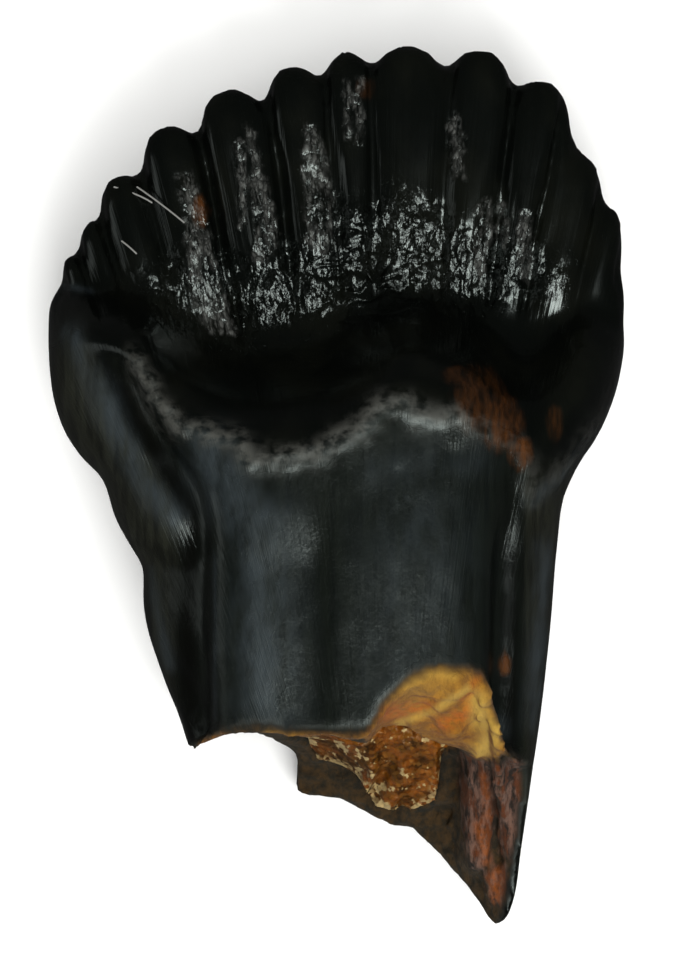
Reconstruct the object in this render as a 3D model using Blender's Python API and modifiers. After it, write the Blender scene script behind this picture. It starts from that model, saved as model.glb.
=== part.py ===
"""Fossil pachycephalosaurus tooth, lying on its back with the broken root towards -Y.

The tooth is one grown piece: a fan of denticles on a swollen crown, and a root that broke through its
pulp cavity. Calcite that grew in the cavity is the second piece. +Z is the face of the tooth that is
seen, +Y points to the tip of the crown, and the origin is on the surface that the tooth rests on, under
the middle of its box.
"""
import bmesh
import bpy
import numpy as np

MM = 0.001

# Driving dimensions, in millimetres. The heights are above the surface that the tooth lies on.
LENGTH = 12.14
CROWN_WIDTH = 7.98
FLAT_SPOT_LEVEL = 0.0
DENTICLE_THICKNESS = 1.14
CALCITE_GAP = 0.04
ROUGHNESS_OF_BREAK = 0.05
VOXEL = 0.13
SMOOTHING_LOSS = 0.05
TOOTH_TRIANGLES = 6000

ABOVE_ALL = 6.0
BELOW_ALL = -1.0
AROUND_ALL = ((-6, -8), (6, -8), (6, 8), (-6, 8))
TIP_OF_ROOT = -LENGTH / 2
TIP_OF_CROWN = LENGTH / 2
WIDEST = CROWN_WIDTH / 2 - 0.02

# Curves along the tooth, each a list of (y, value) in millimetres from the root's tip to the crown's.
LEFT_EDGE = (
    (-6.10, -1.48), (-4.40, -1.82), (-3.40, -2.10), (-2.60, -2.40), (-1.95, -2.61), (-1.60, -2.66),
    (-1.20, -2.65), (-0.80, -2.87), (-0.45, -3.05), (0.05, -3.20), (0.45, -3.57), (0.85, -3.80),
    (1.35, -3.93), (2.00, -WIDEST - 0.01), (2.45, -3.97), (2.75, -3.80), (3.20, -3.48), (3.60, -3.10),
    (4.10, -2.60), (4.60, -1.82), (5.10, -1.00), (5.45, -0.45), (5.70, 0.10), (5.88, 1.00),
)
RIGHT_EDGE = (
    (-6.10, 2.36), (-5.60, 2.47), (-5.10, 2.53), (-3.60, 2.75), (-2.10, 2.93), (-0.90, 3.03), (-0.30, 3.10),
    (0.20, 3.29), (0.60, 3.55), (1.00, 3.75), (1.45, 3.90), (2.00, WIDEST + 0.01), (2.70, 3.83),
    (3.60, 3.57), (4.10, 3.31), (4.60, 2.94), (5.10, 2.52), (5.50, 1.96), (5.75, 1.50), (5.88, 1.05),
)
FRONT = (
    (-6.10, 4.66), (-3.40, 4.72), (-1.60, 4.76), (0.05, 4.78), (0.50, 4.80), (0.85, 4.73),
    (1.30, 4.26), (1.75, 3.45), (2.10, 2.87), (2.45, 2.60), (2.90, 2.65), (3.30, 2.73), (3.80, 2.77),
    (4.40, 2.75), (5.10, 2.69), (5.60, 2.62), (5.88, 2.48),
)
BACK = (
    (-6.10, 0.05), (-4.90, 0.06), (-2.80, 0.12), (-0.40, 0.22), (0.60, 0.10), (1.65, -0.05),
    (2.30, 0.22), (3.20, 0.98), (4.10, 1.40), (5.00, 1.68), (5.88, 2.00),
)
WIDEST_LEVEL = ((-6.10, 2.10), (-1.00, 2.30), (1.20, 2.20), (3.20, 2.10), (5.88, 2.30))
SQUARENESS = ((-6.10, 2.9), (-0.60, 2.8), (0.80, 2.5), (1.80, 2.6), (2.60, 3.4), (3.60, 4.0), (5.88, 4.0))

# Denticles: tip x, tip y, slant (x run per y), full width, length and height of the middle.
DENTICLES = (
    (-3.70, 3.12, -0.62, 0.50, 1.5, 2.12),
    (-3.42, 3.58, -0.52, 0.64, 1.8, 2.14),
    (-3.04, 4.22, -0.42, 0.92, 2.2, 2.20),
    (-2.37, 4.92, -0.26, 1.00, 2.6, 2.24),
    (-1.54, 5.43, -0.26, 1.13, 2.8, 2.26),
    (-0.65, 5.76, -0.22, 1.01, 2.8, 2.26),
    (0.13, 5.96, -0.10, 0.86, 2.8, 2.26),
    (0.99, TIP_OF_CROWN, 0.02, 1.26, 2.8, 2.26),
    (2.01, 5.99, 0.12, 1.11, 2.8, 2.26),
    (2.86, 5.56, 0.15, 1.02, 2.7, 2.22),
    (3.12, 4.92, 0.14, 0.54, 1.6, 2.02),
    (3.33, 4.54, 0.16, 0.96, 2.4, 2.10),
    (3.72, 3.84, 0.10, 0.58, 1.8, 2.02),
    (3.79, 3.02, 0.06, 0.44, 1.4, 2.02),
)
DENTICLE_BLUNTNESS = 2.5

# The crest of the crown's swelling isn't level: (x, how much further towards the root it lies).
CREST_SHIFT = (
    (-3.60, -1.10), (-2.80, -0.95), (-2.20, -0.15), (-1.20, 0.33), (-0.20, 0.22), (0.35, -0.10),
    (0.95, -0.45), (1.70, -0.25), (2.60, 0.35), (3.40, -0.40),
)

# Two long grooves run down the front of the root, one at each side of its broad middle lobe.
GROOVES = (
    (((-6.00, -2.02), (-0.60, -1.98), (-0.22, -2.04), (0.33, -2.37), (0.89, -2.73), (1.58, -3.06)), 0.30, 0.25),
    (((-6.00, 2.36), (-2.00, 2.38), (0.00, 2.42), (0.70, 2.62)), 0.24, 0.22),
)

# The pulp cavity is an oval hollow that is open where the root is broken.
CAVITY_TOP = -1.30
CAVITY_LEFT = ((-7.0, -0.85), (-3.6, -0.75), (-2.2, -0.45), (-1.5, 0.15), (CAVITY_TOP, 0.50))
CAVITY_RIGHT = ((-7.0, 1.72), (-3.6, 1.75), (-2.2, 1.40), (-1.5, 0.85), (CAVITY_TOP, 0.54))
CAVITY_FRONT = ((-7.0, 3.30), (-3.6, 3.35), (-2.2, 3.05), (-1.5, 2.60), (CAVITY_TOP, 2.34))
CAVITY_BACK = ((-7.0, 0.95), (-3.6, 1.05), (-2.2, 1.45), (-1.5, 1.95), (CAVITY_TOP, 2.30))
CAVITY_LEVEL = ((-7.0, 2.10), (CAVITY_TOP, 2.32))

# The break seen from the front, as (x, y) from left to right: the edge of the front wall, and the
# outline past which nothing of the root is left.
FRONT_BREAK = (
    (-3.20, -3.30), (-1.85, -3.66), (-1.59, -3.49), (-1.27, -3.43), (-0.99, -3.46), (-0.51, -3.53),
    (-0.09, -3.46), (0.19, -3.51), (0.40, -3.49), (0.67, -3.07), (1.16, -2.65), (1.44, -2.56),
    (1.94, -2.61), (2.12, -2.86), (2.20, -3.28), (2.25, -3.56), (2.38, -3.79), (2.69, -3.86), (3.60, -3.90),
)
LOST_ROOT = (
    (-4.0, -3.20), (-1.95, -3.70), (-1.85, -3.64), (-1.72, -3.56), (-1.48, -3.43), (-1.18, -3.44),
    (-0.90, -3.56), (-0.47, -3.80), (-0.52, -4.26), (0.12, -4.35), (0.60, -4.61), (0.88, -4.75),
    (1.05, -4.71), (1.30, -4.96), (1.51, -5.15), (1.72, -5.43), (2.00, -5.80), (2.20, -6.03),
    (2.28, TIP_OF_ROOT), (2.40, -6.00), (3.60, -5.90), (3.60, -7.20), (-4.0, -7.20),
)
# The rough face of the break: at each x, its height over the distance past the front wall's edge.
BREAK_FACE = (
    (-0.50, ((0.00, 3.40), (0.15, 1.70), (0.30, 1.00), (4.20, 0.80))),
    (0.12, ((0.00, 3.60), (0.10, 3.20), (0.42, 1.80), (0.55, 1.00), (4.20, 0.85))),
    (0.50, ((0.00, 4.20), (0.15, 3.30), (0.75, 2.20), (1.00, 1.10), (4.20, 0.90))),
    (0.88, ((0.00, 4.70), (0.45, 3.40), (1.00, 2.60), (1.55, 1.50), (1.75, 1.00), (4.20, 0.90))),
    (1.40, ((0.00, 4.75), (0.90, 3.50), (1.05, 3.00), (1.50, 2.20), (1.85, 1.60), (1.95, 1.00), (4.20, 0.9))),
    (1.62, ((0.00, 4.75), (0.90, 3.60), (1.05, 3.20), (1.15, 1.30), (4.20, 0.90))),
    (1.85, ((0.00, 4.75), (0.60, 3.90), (1.10, 3.10), (1.20, 2.30), (2.60, 1.90), (2.95, 1.40), (4.20, 1.2))),
    (2.05, ((0.00, 4.70), (0.50, 3.90), (1.05, 3.10), (1.15, 2.60), (2.50, 2.10), (2.90, 1.70), (4.20, 1.6))),
    (2.19, ((0.00, 4.50), (0.90, 3.00), (1.00, 2.00), (2.60, 1.80), (4.20, 1.80))),
    (2.36, ((0.00, 3.90), (0.10, 2.90), (1.30, 2.40), (1.80, 2.20), (4.20, 2.10))),
    (2.80, ((0.00, 3.60), (0.10, 2.80), (1.30, 2.50), (1.80, 2.40), (4.20, 2.30))),
)

DARK_FOSSIL = (0.012, 0.014, 0.012)
CALCITE = (0.26, 0.13, 0.035)


def smooth(points, at):
    """Monotone cubic curve through the points, level past both ends."""
    where, value = np.array(points, float).T
    slope = np.diff(value) / np.diff(where)
    product = slope[:-1] * slope[1:]
    total = slope[:-1] + slope[1:]
    inner = np.where(product > 0, 2 * product / np.where(product > 0, total, 1), 0)
    tangent = np.concatenate(([slope[0]], inner, [slope[-1]]))
    at = np.clip(at, where[0], where[-1])
    i = np.clip(np.searchsorted(where, at) - 1, 0, len(where) - 2)
    span = where[i + 1] - where[i]
    t = (at - where[i]) / span
    rise = t * t * (3 - 2 * t)
    bend = t * (1 - t) * span * ((1 - t) * tangent[i] - t * tangent[i + 1])
    return value[i] * (1 - rise) + value[i + 1] * rise + bend


def signed_power(value, power):
    return np.sign(value) * np.abs(value) ** power


def new_object(name, bm, collection):
    """Scales a mesh made in millimetres to metres, and puts it in a collection as an object."""
    bmesh.ops.scale(bm, vec=(MM, MM, MM), verts=bm.verts)
    bmesh.ops.recalc_face_normals(bm, faces=bm.faces)
    mesh = bpy.data.meshes.new(name)
    bm.to_mesh(mesh)
    bm.free()
    obj = bpy.data.objects.new(name, mesh)
    collection.objects.link(obj)
    return obj


def crest_shift(x, y):
    return smooth(CREST_SHIFT, x) * np.clip((3.8 - y) / 2, 0, 1)


def no_shift(x, y):
    return 0 * x


def loft(bm, stations, left, right, front, back, level, squareness, shift=no_shift, sides=96):
    """A closed solid through superellipse sections that stand across Y."""
    turn = np.linspace(0, 2 * np.pi, sides, endpoint=False)
    rings = []
    for y in stations:
        x0, x1 = smooth(left, y), smooth(right, y)
        power = 2 / smooth(squareness, y)
        across = signed_power(np.cos(turn), power)
        up = signed_power(np.sin(turn), power)
        x = (x0 + x1) / 2 + (x1 - x0) / 2 * across
        top, bottom, middle = smooth(front, y + shift(x, y)), smooth(back, y), smooth(level, y)
        z = middle + np.where(up > 0, top - middle, middle - bottom) * up
        rings.append([bm.verts.new((float(a), float(y), float(b))) for a, b in zip(x, z)])
    for lower, upper in zip(rings, rings[1:]):
        for i in range(sides):
            j = (i + 1) % sides
            bm.faces.new((lower[i], lower[j], upper[j], upper[i]))
    bm.faces.new(rings[0])
    bm.faces.new(rings[-1])


def denticle(bm, tip_x, tip_y, slant, width, length, level):
    """A blunt finger whose end is the tip, and which runs down into the crown along its ridge."""
    axis = np.array([slant, 1.0]) / np.hypot(slant, 1.0)
    side = np.array([axis[1], -axis[0]])
    middle = np.array([tip_x, tip_y]) - axis * length / 2
    made = bmesh.ops.create_uvsphere(bm, u_segments=32, v_segments=24, radius=1.0)
    for vert in made["verts"]:
        along = signed_power(vert.co.z, 2 / DENTICLE_BLUNTNESS) * length / 2
        across = vert.co.x * width / 2
        x, y = middle + axis * along + side * across
        vert.co = (x, y, level + vert.co.y * DENTICLE_THICKNESS / 2)


def tooth_blank(collection):
    """Crown, root and denticles run together into one skin."""
    bm = bmesh.new()
    stations = np.concatenate((np.linspace(-6.6, 5.0, 90), np.linspace(5.06, 5.88, 30)))
    loft(bm, stations, LEFT_EDGE, RIGHT_EDGE, FRONT, BACK, WIDEST_LEVEL, SQUARENESS, crest_shift)
    for row in DENTICLES:
        denticle(bm, *row)
    obj = new_object("tooth", bm, collection)
    remesh = obj.modifiers.new("one_skin", "REMESH")
    remesh.mode = "VOXEL"
    remesh.voxel_size = VOXEL * MM
    soften = obj.modifiers.new("soften", "SMOOTH")
    soften.factor = 0.5
    soften.iterations = 3
    return obj


def bake(obj):
    """Turns what the modifiers show into the object's own mesh."""
    shown = bpy.data.meshes.new_from_object(obj.evaluated_get(bpy.context.evaluated_depsgraph_get()))
    old = obj.data
    obj.modifiers.clear()
    obj.data = shown
    bpy.data.meshes.remove(old)
    shown.name = obj.name


def shape_front(obj):
    """Gives back what smoothing took off, and presses the two grooves into the root's front."""
    normals = [vert.normal.copy() for vert in obj.data.vertices]
    for vert, normal in zip(obj.data.vertices, normals):
        x, y, z = vert.co / MM
        vert.co += normal * SMOOTHING_LOSS * MM
        facing = np.clip(normal.z * 1.6, 0, 1) * np.clip((z - 2.4) / 1.2, 0, 1)
        for path, half_width, depth in GROOVES:
            away = (x - smooth(path, y)) / half_width
            fade = np.clip((path[-1][0] - y) / 0.8, 0, 1)
            vert.co -= normal * float(depth * MM * facing * fade * np.exp(-away * away))


def raise_top(bm, faces, height):
    """Makes a closed block of some faces, with a flat top at the height."""
    raised = bmesh.ops.extrude_face_region(bm, geom=faces, use_keep_orig=True)["geom"]
    for vert in raised:
        if isinstance(vert, bmesh.types.BMVert):
            vert.co.z = height


def outline_prism(name, outline, low, high, collection):
    """A flat outline made solid between two heights."""
    bm = bmesh.new()
    base = bm.faces.new([bm.verts.new((x, y, low)) for x, y in outline])
    raise_top(bm, [base], high)
    return hide_cutter(new_object(name, bm, collection))


def front_break(collection):
    """The lost front wall: a block whose underside is the rough face of the break."""
    across = np.concatenate(([-3.2, -2.6, -2.0], np.linspace(-1.6, 2.8, 42), [3.2, 3.6]))
    past = np.concatenate(([0.0, 0.08], np.linspace(0.2, 3.9, 27)))
    x, s = np.meshgrid(across, past)
    y = smooth(FRONT_BREAK, x) - s
    places = [place for place, _ in BREAK_FACE]
    z = np.array([np.interp(across, places, [smooth(face, row) for _, face in BREAK_FACE]) for row in past])
    z += ROUGHNESS_OF_BREAK * np.sin(9.0 * x + 4.0 * y) * np.sin(7.0 * y - 2.0 * x) * np.clip(s * 4, 0, 1)
    bm = bmesh.new()
    rows, columns = x.shape
    lower = [[bm.verts.new((x[r, c], y[r, c], z[r, c])) for c in range(columns)] for r in range(rows)]
    faces = [bm.faces.new((lower[r][c], lower[r][c + 1], lower[r + 1][c + 1], lower[r + 1][c]))
             for r in range(rows - 1) for c in range(columns - 1)]
    raise_top(bm, faces, ABOVE_ALL)
    return hide_cutter(new_object("front_break", bm, collection))


def cavity(name, gap, collection):
    """The pulp cavity, or with a gap the calcite that fills it."""
    def moved(points, by):
        return tuple((y, value + by) for y, value in points)
    bm = bmesh.new()
    stations = np.concatenate((np.linspace(-6.9, -2.1, 14), np.linspace(-1.9, CAVITY_TOP - gap, 8)))
    loft(bm, stations, moved(CAVITY_LEFT, gap), moved(CAVITY_RIGHT, -gap), moved(CAVITY_FRONT, -gap),
         moved(CAVITY_BACK, gap), CAVITY_LEVEL, ((-7.0, 2.2), (CAVITY_TOP, 2.0)), sides=24)
    return new_object(name, bm, collection)


def hide_cutter(obj):
    obj.display_type = "WIRE"
    obj.hide_render = True
    return obj


def cut(obj, cutter):
    boolean = obj.modifiers.new("cut by " + cutter.name, "BOOLEAN")
    boolean.operation = "DIFFERENCE"
    boolean.solver = "EXACT"
    boolean.object = cutter


def material(name, colour, roughness):
    made = bpy.data.materials.new(name)
    made.use_nodes = True
    shader = made.node_tree.nodes["Principled BSDF"]
    shader.inputs["Base Color"].default_value = (*colour, 1)
    shader.inputs["Roughness"].default_value = roughness
    shader.inputs["Metallic"].default_value = 0
    return made


def main():
    for obj in list(bpy.data.objects):
        bpy.data.objects.remove(obj, do_unlink=True)
    parts = bpy.data.collections.new("pachycephalosaurus_tooth")
    cutters = bpy.data.collections.new("cutters")
    bpy.context.scene.collection.children.link(parts)
    bpy.context.scene.collection.children.link(cutters)

    tooth = tooth_blank(parts)
    bake(tooth)
    shape_front(tooth)
    tooth.data.shade_smooth()
    thin = tooth.modifiers.new("fewer faces", "DECIMATE")
    thin.ratio = TOOTH_TRIANGLES / sum(len(face.vertices) - 2 for face in tooth.data.polygons)

    lost_front = front_break(cutters)
    lost_root = outline_prism("lost_root", LOST_ROOT, BELOW_ALL, ABOVE_ALL, cutters)
    below_floor = outline_prism("below_floor", AROUND_ALL, BELOW_ALL, FLAT_SPOT_LEVEL, cutters)
    hollow = hide_cutter(cavity("pulp_cavity", 0.0, cutters))
    calcite = cavity("calcite_fill", CALCITE_GAP, parts)
    for cutter in (lost_root, lost_front, hollow, below_floor):
        cut(tooth, cutter)
    for cutter in (lost_root, lost_front):
        cut(calcite, cutter)

    tooth.data.materials.clear()
    tooth.data.materials.append(material("dark fossil tooth", DARK_FOSSIL, 0.2))
    calcite.data.materials.append(material("iron-stained calcite", CALCITE, 0.45))


main()
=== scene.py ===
"""Looks of a fossil pachycephalosaurus tooth, lying on its back, with calcite in its broken root.

The tooth is sculpted in millimetres in the CAD's frame: x to the right, y to the tip of the crown and z
out of the face that is seen. Each finished piece is scaled to metres last.
"""
import math

import bmesh
import bpy
import numpy as np
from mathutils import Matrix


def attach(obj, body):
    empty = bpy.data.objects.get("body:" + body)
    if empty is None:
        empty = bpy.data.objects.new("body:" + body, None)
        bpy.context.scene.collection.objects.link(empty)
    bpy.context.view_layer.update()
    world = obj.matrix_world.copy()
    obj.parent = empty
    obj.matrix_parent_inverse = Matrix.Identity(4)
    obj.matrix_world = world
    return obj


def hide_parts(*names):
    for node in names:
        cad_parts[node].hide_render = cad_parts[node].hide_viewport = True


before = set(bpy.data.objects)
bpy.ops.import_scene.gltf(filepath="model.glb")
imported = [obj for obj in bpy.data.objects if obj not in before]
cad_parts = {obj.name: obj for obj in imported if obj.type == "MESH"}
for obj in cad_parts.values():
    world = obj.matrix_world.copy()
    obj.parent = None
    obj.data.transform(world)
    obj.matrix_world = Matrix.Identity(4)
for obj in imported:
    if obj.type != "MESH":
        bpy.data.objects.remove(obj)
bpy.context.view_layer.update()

MM = 0.001

# Outer size, in millimetres, and the heights and the outline that the cutters reach past.
LENGTH = 12.14
CROWN_WIDTH = 7.98
WIDEST = CROWN_WIDTH / 2 - 0.02
TIP_OF_ROOT = -LENGTH / 2
TIP_OF_CROWN = LENGTH / 2
ABOVE_ALL = 6.0
BELOW_ALL = -1.0
AROUND_ALL = ((-6, -8), (6, -8), (6, 8), (-6, 8))
# The body runs past the break, where it is cut, and ends just below the tip of the longest denticle.
BODY_ENDS = (-6.6, 5.88)

# The denticles' thickness, in millimetres, and the powers of the superellipses of their outline and
# their section.
DENTICLE_THICKNESS = 1.14
DENTICLE_ROUNDNESS = 2.4
DENTICLE_FLATNESS = 5.0

# Curves along the tooth, each a list of (y, value), from the root's tip to the crown's.
LEFT_EDGE = (
    (-6.10, -1.48), (-4.40, -1.82), (-3.40, -2.10), (-2.60, -2.40), (-1.95, -2.61), (-1.60, -2.66),
    (-1.20, -2.65), (-0.80, -2.87), (-0.45, -3.05), (0.05, -3.20), (0.45, -3.57), (0.85, -3.80),
    (1.35, -3.93), (2.00, -WIDEST - 0.01), (2.45, -3.97), (2.75, -3.80), (3.20, -3.48), (3.60, -3.10),
    (4.10, -2.60), (4.60, -1.82), (5.10, -1.00), (5.45, -0.45), (5.70, 0.10), (5.88, 1.00),
)
RIGHT_EDGE = (
    (-6.10, 2.36), (-5.60, 2.47), (-5.10, 2.53), (-3.60, 2.75), (-2.10, 2.93), (-0.90, 3.03), (-0.30, 3.10),
    (0.20, 3.29), (0.60, 3.55), (1.00, 3.75), (1.45, 3.90), (2.00, WIDEST + 0.01), (2.70, 3.83),
    (3.60, 3.57), (4.10, 3.31), (4.60, 2.94), (5.10, 2.52), (5.50, 1.96), (5.75, 1.50), (5.88, 1.05),
)
FRONT = (
    (-6.10, 4.66), (-3.40, 4.72), (-1.60, 4.76), (0.05, 4.77), (0.50, 4.78), (0.85, 4.72),
    (1.30, 4.26), (1.75, 3.45), (2.10, 2.87), (2.45, 2.60), (2.90, 2.65), (3.30, 2.73), (3.80, 2.77),
    (4.40, 2.75), (5.10, 2.69), (5.60, 2.62), (5.88, 2.48),
)
BACK = (
    (-6.10, 0.05), (-4.90, 0.06), (-2.80, 0.12), (-0.40, 0.22), (0.60, 0.10), (1.65, -0.05),
    (2.30, 0.22), (3.20, 0.98), (4.10, 1.40), (5.00, 1.68), (5.88, 2.00),
)
WIDEST_LEVEL = ((-6.10, 2.10), (-1.00, 2.30), (1.20, 2.20), (3.20, 2.10), (5.88, 2.30))
SQUARENESS = ((-6.10, 2.9), (-0.60, 2.8), (0.80, 2.5), (1.80, 2.6), (2.60, 3.4), (3.60, 4.0), (5.88, 4.0))
CREST_SHIFT = (
    (-3.60, -1.10), (-2.80, -0.95), (-2.20, -0.15), (-1.20, 0.33), (-0.20, 0.22), (0.35, -0.10),
    (0.95, -0.45), (1.70, -0.25), (2.60, 0.35), (3.40, -0.40),
)

# Denticles: tip x, tip y, slant (x run per y), full width, length and height of the middle.
DENTICLES = (
    (-3.70, 3.12, -0.62, 0.50, 1.5, 2.12),
    (-3.42, 3.58, -0.52, 0.64, 1.8, 2.14),
    (-3.04, 4.22, -0.42, 0.92, 2.2, 2.20),
    (-2.37, 4.92, -0.26, 1.00, 2.6, 2.24),
    (-1.54, 5.43, -0.26, 1.13, 2.8, 2.26),
    (-0.65, 5.76, -0.22, 1.01, 2.8, 2.26),
    (0.13, 5.96, -0.10, 0.86, 2.8, 2.26),
    (0.99, TIP_OF_CROWN - 0.03, 0.02, 1.26, 2.8, 2.26),
    (2.01, 5.99, 0.12, 1.11, 2.8, 2.26),
    (2.86, 5.56, 0.15, 1.02, 2.7, 2.22),
    (3.12, 4.92, 0.14, 0.54, 1.6, 2.02),
    (3.33, 4.54, 0.16, 0.96, 2.4, 2.10),
    (3.72, 3.84, 0.10, 0.58, 1.8, 2.02),
    (3.79, 3.02, 0.06, 0.44, 1.4, 2.02),
)

# The pulp cavity, open where the root is broken, and the gap between its wall and the calcite.
CALCITE_GAP = 0.04
CAVITY_OPEN_END = -6.9
CAVITY_TOP = -1.30
CAVITY_LEFT = ((-7.0, -0.85), (-3.6, -0.75), (-2.2, -0.45), (-1.5, 0.15), (CAVITY_TOP, 0.50))
CAVITY_RIGHT = ((-7.0, 1.72), (-3.6, 1.75), (-2.2, 1.40), (-1.5, 0.85), (CAVITY_TOP, 0.54))
CAVITY_FRONT = ((-7.0, 3.30), (-3.6, 3.35), (-2.2, 3.05), (-1.5, 2.60), (CAVITY_TOP, 2.34))
CAVITY_BACK = ((-7.0, 0.95), (-3.6, 1.05), (-2.2, 1.45), (-1.5, 1.95), (CAVITY_TOP, 2.30))
CAVITY_LEVEL = ((-7.0, 2.10), (CAVITY_TOP, 2.32))
CAVITY_SQUARENESS = ((-7.0, 2.2), (CAVITY_TOP, 2.0))

# The break seen from the front, as (x, y) from left to right: the edge of the front wall, and the
# outline past which nothing of the root is left.
FRONT_BREAK = (
    (-3.20, -3.30), (-1.85, -3.66), (-1.59, -3.46), (-1.27, -3.40), (-0.99, -3.40), (-0.51, -3.44),
    (-0.09, -3.42), (0.19, -3.48), (0.40, -3.47), (0.67, -3.07), (1.16, -2.65), (1.44, -2.56),
    (1.94, -2.61), (2.12, -2.86), (2.20, -3.28), (2.25, -3.56), (2.38, -3.79), (2.69, -3.86), (3.60, -3.90),
)
LOST_ROOT = (
    (-4.0, -3.19), (-1.97, -3.67), (-1.85, -3.63), (-1.72, -3.55), (-1.48, -3.42), (-1.20, -3.43),
    (-0.96, -3.50), (-0.53, -3.76), (-0.56, -4.32), (0.08, -4.41), (0.56, -4.67), (0.84, -4.81),
    (1.00, -4.74), (1.24, -4.98), (1.45, -5.16), (1.66, -5.43), (1.94, -5.78), (2.12, -6.07),
    (2.25, TIP_OF_ROOT - 0.08), (2.36, -6.04), (2.44, -5.84), (3.60, -5.60), (3.60, -7.20), (-4.0, -7.20),
)
# The rough face of the break: at each x, its height over the distance past the front wall's edge.
BREAK_FACE = (
    (-0.50, ((0.00, 3.40), (0.15, 1.70), (0.30, 1.00), (4.20, 0.80))),
    (0.12, ((0.00, 3.60), (0.10, 3.20), (0.42, 1.80), (0.55, 1.00), (4.20, 0.85))),
    (0.50, ((0.00, 4.20), (0.15, 3.30), (0.75, 2.20), (1.00, 1.10), (4.20, 0.90))),
    (0.88, ((0.00, 4.70), (0.45, 3.40), (1.00, 2.60), (1.55, 1.50), (1.75, 1.00), (4.20, 0.90))),
    (1.40, ((0.00, 4.75), (0.90, 3.50), (1.05, 3.00), (1.50, 2.20), (1.85, 1.60), (1.95, 1.00), (4.20, 0.9))),
    (1.62, ((0.00, 4.75), (0.90, 3.60), (1.05, 3.20), (1.15, 1.30), (4.20, 0.90))),
    (1.85, ((0.00, 4.75), (0.60, 3.90), (1.10, 3.10), (1.20, 2.30), (2.60, 1.90), (2.95, 1.40), (4.20, 1.2))),
    (2.05, ((0.00, 4.70), (0.50, 3.90), (1.05, 3.10), (1.15, 2.60), (2.50, 2.10), (2.90, 1.70), (4.20, 1.6))),
    (2.19, ((0.00, 4.50), (0.90, 3.00), (1.00, 2.00), (2.60, 1.80), (4.20, 1.80))),
    (2.36, ((0.00, 3.90), (0.10, 2.90), (1.30, 2.40), (1.80, 2.20), (4.20, 2.10))),
    (2.80, ((0.00, 3.60), (0.10, 2.80), (1.30, 2.50), (1.80, 2.40), (4.20, 2.30))),
)
# Height of the broken wall's upper rim, as (x, height), and of the ledge's at the root's end.
RIM_HEIGHT = ((-2.10, 2.90), (-1.80, 3.80), (-1.20, 4.40), (-0.50, 4.70), (0.40, 4.75), (2.80, 4.60))
LEDGE_HEIGHT = 0.85

# The ridges fan out from one point far down the root. Fan place is x run per y from that point.
FAN_X = 0.743
FAN_Y = -8.07
RIDGES = (-0.394, -0.353, -0.304, -0.234, -0.160, -0.088, -0.040, 0.018, 0.092, 0.152, 0.212, 0.262)
VALLEYS = (-0.419, -0.386, -0.345, -0.280, -0.206, -0.126, -0.066, -0.020, 0.062, 0.127, 0.179, 0.244, 0.290)
FAN_REACH = 11.3
RIDGE_HEIGHT = 0.15

# Valleys deeper than the rest: fan place, lowest and highest y, depth and half width.
FAN_GROOVES = (
    (-0.204, 2.1, 4.5, 0.12, 0.060),
    (-0.172, 3.3, 4.6, 0.05, 0.050),
    (-0.122, 2.9, 4.6, 0.08, 0.060),
    (-0.057, 3.3, 4.6, 0.06, 0.060),
    (0.130, 2.5, 3.9, 0.08, 0.050),
    (0.146, 3.3, 3.9, 0.05, 0.045),
    (0.176, 2.4, 3.9, 0.07, 0.050),
)
# The band of wrinkled enamel, from (x, y) at its foot to (x, y) at its top.
WRINKLES_START = (
    (-3.20, 2.70), (-2.60, 2.45), (-2.00, 2.10), (-1.40, 1.95), (-0.60, 2.15), (0.20, 2.35), (0.90, 2.45),
    (1.60, 2.45), (2.30, 2.55), (3.00, 2.70),
)
WRINKLES_END = (
    (-3.20, 2.70), (-2.60, 3.00), (-2.00, 3.10), (-1.20, 3.15), (-0.50, 3.35), (0.00, 3.80), (0.90, 3.95),
    (1.40, 3.70), (2.00, 3.40), (2.70, 3.30), (3.00, 3.00),
)
# Strips of wrinkled enamel that climb from the band of wrinkles, on the right-hand slopes of the ridges.
STRIPS = (
    ((-2.20, 4.22), (-2.03, 4.33), (-1.94, 4.08), (-1.80, 3.72), (-1.70, 3.32), (-1.65, 2.92), (-1.53, 2.51),
     (-1.37, 2.07), (-1.59, 2.03), (-1.83, 2.14), (-1.98, 2.51), (-2.05, 2.92), (-2.08, 3.32), (-2.10, 3.72),
     (-2.17, 4.01)),
    ((-1.36, 4.70), (-1.27, 4.72), (-1.24, 3.60), (-1.33, 3.55)),
    ((-1.26, 4.94), (-1.17, 4.92), (-1.06, 4.53), (-0.95, 4.13), (-0.85, 3.72), (-0.78, 3.46), (-0.95, 3.08),
     (-1.15, 3.08), (-1.15, 3.72), (-1.16, 4.13), (-1.19, 4.53)),
    ((-0.45, 4.99), (-0.31, 4.96), (-0.22, 4.74), (-0.15, 4.53), (-0.09, 4.13), (-0.08, 3.72), (-0.03, 3.32),
     (-0.16, 3.08), (-0.40, 3.32), (-0.42, 3.72), (-0.45, 4.13), (-0.47, 4.53)),
    ((0.13, 5.55), (0.20, 5.55), (0.21, 4.75), (0.12, 4.75)),
    ((0.27, 5.60), (0.35, 5.60), (0.38, 4.70), (0.28, 4.70)),
    ((1.56, 4.95), (1.66, 5.12), (1.76, 4.70), (1.74, 4.25), (1.62, 4.20)),
    ((1.97, 3.88), (2.14, 3.94), (2.18, 3.53), (2.10, 3.08), (1.97, 2.83), (1.87, 3.08), (1.92, 3.46)),
    ((2.23, 3.88), (2.35, 3.90), (2.40, 3.39), (2.32, 3.25), (2.23, 3.50)),
    ((2.52, 3.74), (2.66, 3.74), (2.74, 3.25), (2.67, 2.76), (2.53, 2.83), (2.50, 3.32)),
)

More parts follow.
